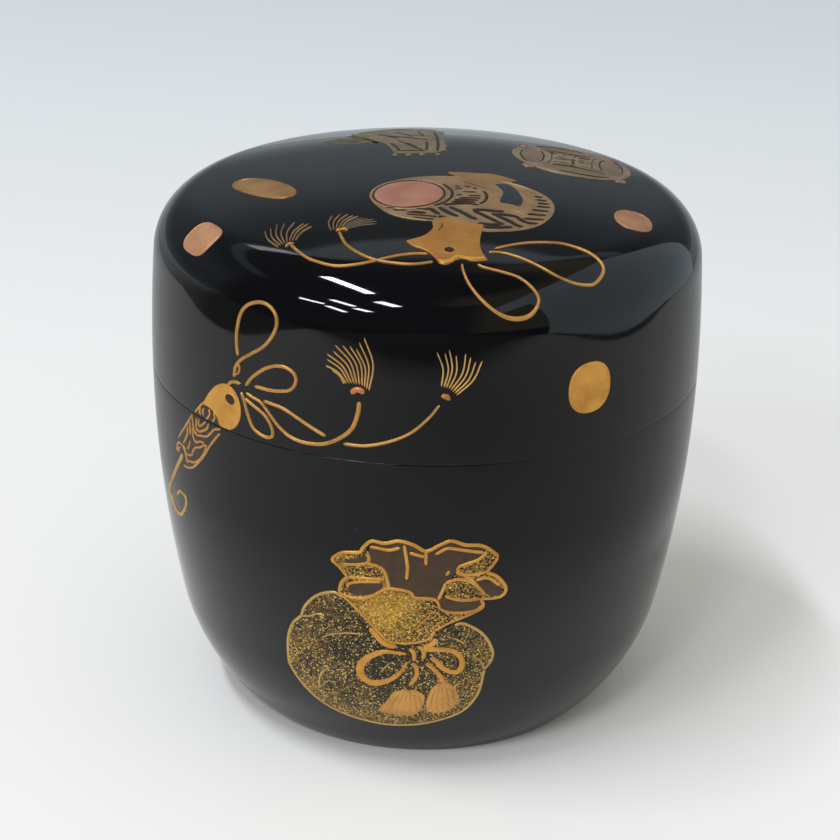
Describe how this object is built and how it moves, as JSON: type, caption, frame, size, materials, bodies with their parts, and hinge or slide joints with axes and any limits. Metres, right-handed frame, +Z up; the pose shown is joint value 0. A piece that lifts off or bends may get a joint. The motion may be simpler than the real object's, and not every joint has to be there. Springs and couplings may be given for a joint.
{
  "type": "natsume tea caddy",
  "caption": "Round lidded lacquer tea caddy: domed lid sliding over a lip on a bowl-footed body, with raised gold good-luck motifs.",
  "frame": {"origin": "middle of the foot ring, on the surface the caddy stands on", "axes": "+Z up along the axis of the caddy; -Y is the front, where the pouch motif is; +X to the right seen from the front"},
  "size_m": [0.066, 0.0662, 0.066],
  "materials": {
    "black_lacquer": "turned wood under polished black lacquer",
    "gold": "burnished gold powder on raised lacquer",
    "copper": "copper-red powder on raised lacquer",
    "sprinkled_gold": "gold flakes sprinkled in clear brown lacquer"
  },
  "bodies": {
    "vessel": {"body": "black_lacquer", "key_grip": "gold", "pouch": "sprinkled_gold", "pouch_cord": "gold", "back_coin_1": "gold", "back_coin_3": "gold"},
    "cover": {"lid": "black_lacquer", "mallet": "gold", "mallet_tassel_cords": "gold", "mallet_upper_loop": "gold", "mallet_lower_loop": "gold", "key_cap": "gold", "key_cord": "gold", "straw_cape": "gold", "treasure_disc": "gold", "top_coin": "gold", "side_coin": "gold", "copper_coin_left": "copper", "copper_coin_right": "copper", "back_coin_2": "gold"}
  },
  "joints": [
    {"name": "lid_lift", "type": "slide", "parent": "vessel", "child": "cover", "axis": [0, 0, 1], "range_m": [0, 0.045]}
  ]
}
